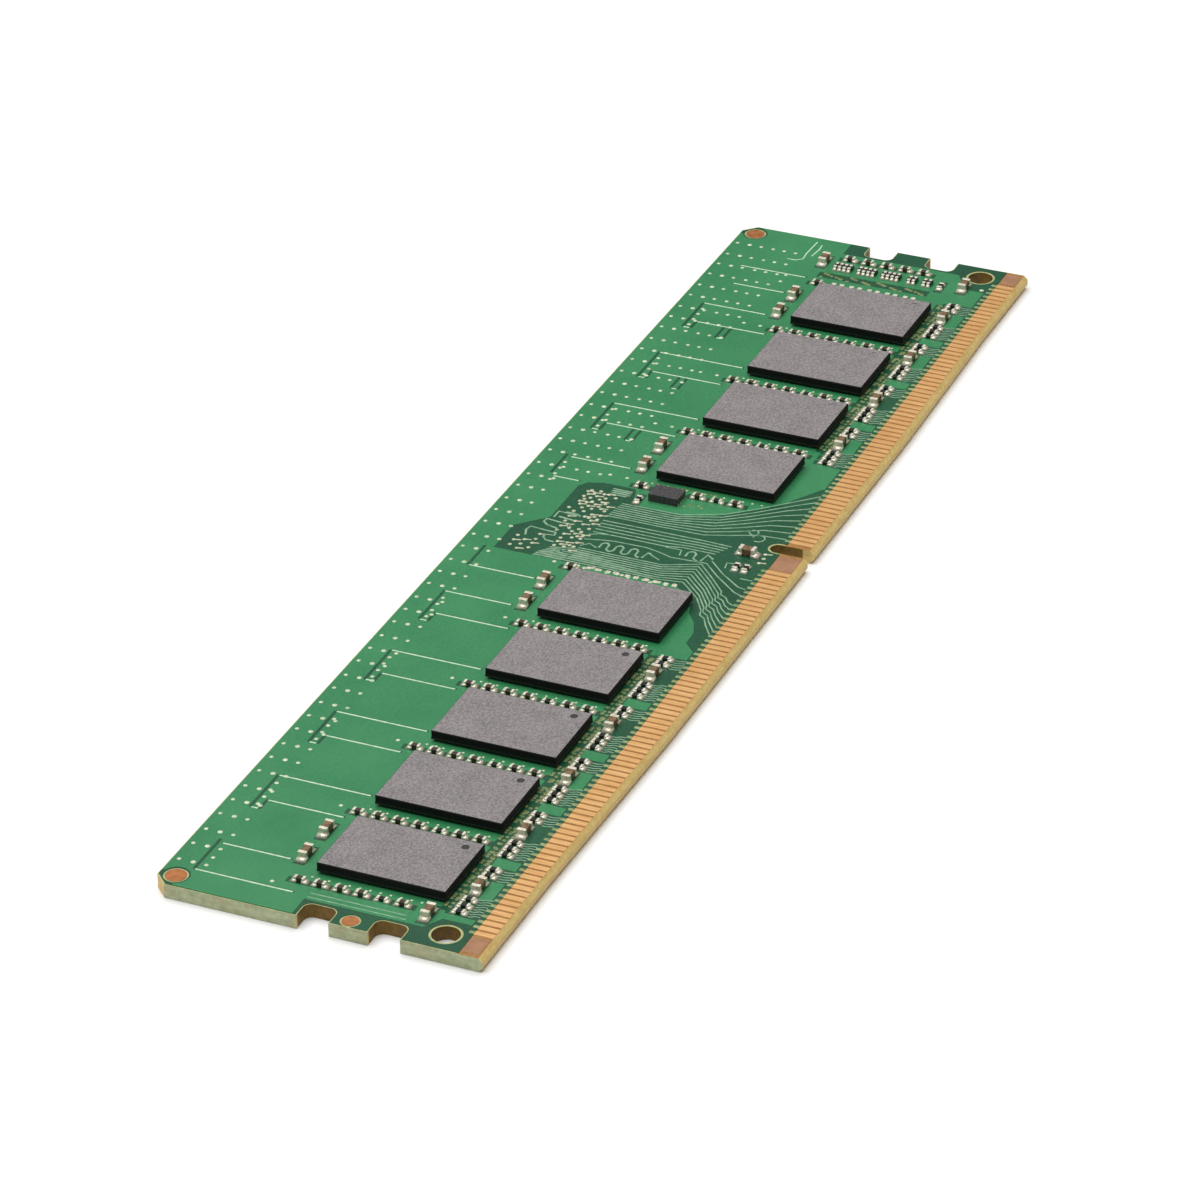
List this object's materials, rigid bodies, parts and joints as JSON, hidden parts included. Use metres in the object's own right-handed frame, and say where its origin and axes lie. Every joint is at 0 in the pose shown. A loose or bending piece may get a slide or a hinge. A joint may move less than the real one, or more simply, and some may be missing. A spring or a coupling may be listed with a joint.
{
  "type": "ram module",
  "caption": "Desktop memory module: a long circuit board with a bevelled gold contact edge, key slot, latch notches, a row of flat memory chips and small surface parts.",
  "frame": {"origin": "middle of the board's rectangular outline, on its bare underside", "axes": "+X along the board towards its last contact, +Y from the contact edge to the top edge, +Z out of the chip side"},
  "size_m": [0.1334, 0.0312, 0.0026],
  "materials": {
    "laminate": "sawn fibreglass edge",
    "solder_mask": "satin green coating",
    "bare_copper": "dull",
    "gold_contact": "polished gold plate",
    "chip_mould": "fine matt moulding",
    "chip_carrier": "satin",
    "silicon": "polished, opaque",
    "tinned_metal": "bright tin",
    "capacitor_ceramic": "fired ceramic",
    "resistor_body": "dark glaze"
  },
  "bodies": {
    "root": {"alignment_marks": "bare_copper", "bulk_capacitor_bodies": "capacitor_ceramic", "bulk_capacitor_terminals": "tinned_metal", "calibration_resistor_bodies": "resistor_body", "calibration_resistor_terminals": "tinned_metal", "circuit_board": "laminate", "config_memory_case": "chip_mould", "config_memory_leads": "tinned_metal", "contact_fingers_back": "gold_contact", "contact_fingers_front": "gold_contact", "control_resistor_bodies": "resistor_body", "control_resistor_terminals": "tinned_metal", "data_resistor_bodies": "resistor_body", "data_resistor_terminals": "tinned_metal", "decoupling_capacitor_bodies": "capacitor_ceramic", "decoupling_capacitor_terminals": "tinned_metal", "memory_chip_1_balls": "tinned_metal", "memory_chip_1_cap": "chip_mould", "memory_chip_1_carrier": "chip_carrier", "memory_chip_1_die": "silicon", "memory_chip_2_balls": "tinned_metal", "memory_chip_2_cap": "chip_mould", "memory_chip_2_carrier": "chip_carrier", "memory_chip_2_die": "silicon", "memory_chip_3_balls": "tinned_metal", "memory_chip_3_cap": "chip_mould", "memory_chip_3_carrier": "chip_carrier", "memory_chip_3_die": "silicon", "memory_chip_4_balls": "tinned_metal", "memory_chip_4_cap": "chip_mould", "memory_chip_4_carrier": "chip_carrier", "memory_chip_4_die": "silicon", "memory_chip_5_balls": "tinned_metal", "memory_chip_5_cap": "chip_mould", "memory_chip_5_carrier": "chip_carrier", "memory_chip_5_die": "silicon", "memory_chip_6_balls": "tinned_metal", "memory_chip_6_cap": "chip_mould", "memory_chip_6_carrier": "chip_carrier", "memory_chip_6_die": "silicon", "memory_chip_7_balls": "tinned_metal", "memory_chip_7_cap": "chip_mould", "memory_chip_7_carrier": "chip_carrier", "memory_chip_7_die": "silicon", "memory_chip_8_balls": "tinned_metal", "memory_chip_8_cap": "chip_mould", "memory_chip_8_carrier": "chip_carrier", "memory_chip_8_die": "silicon", "memory_chip_9_balls": "tinned_metal", "memory_chip_9_cap": "chip_mould", "memory_chip_9_carrier": "chip_carrier", "memory_chip_9_die": "silicon", "solder_mask_back": "solder_mask", "solder_mask_front": "solder_mask", "spare_pads": "tinned_metal", "termination_array_bodies": "resistor_body", "termination_array_terminals": "tinned_metal", "termination_capacitor_bodies": "capacitor_ceramic", "termination_capacitor_terminals": "tinned_metal"}
  },
  "joints": []
}
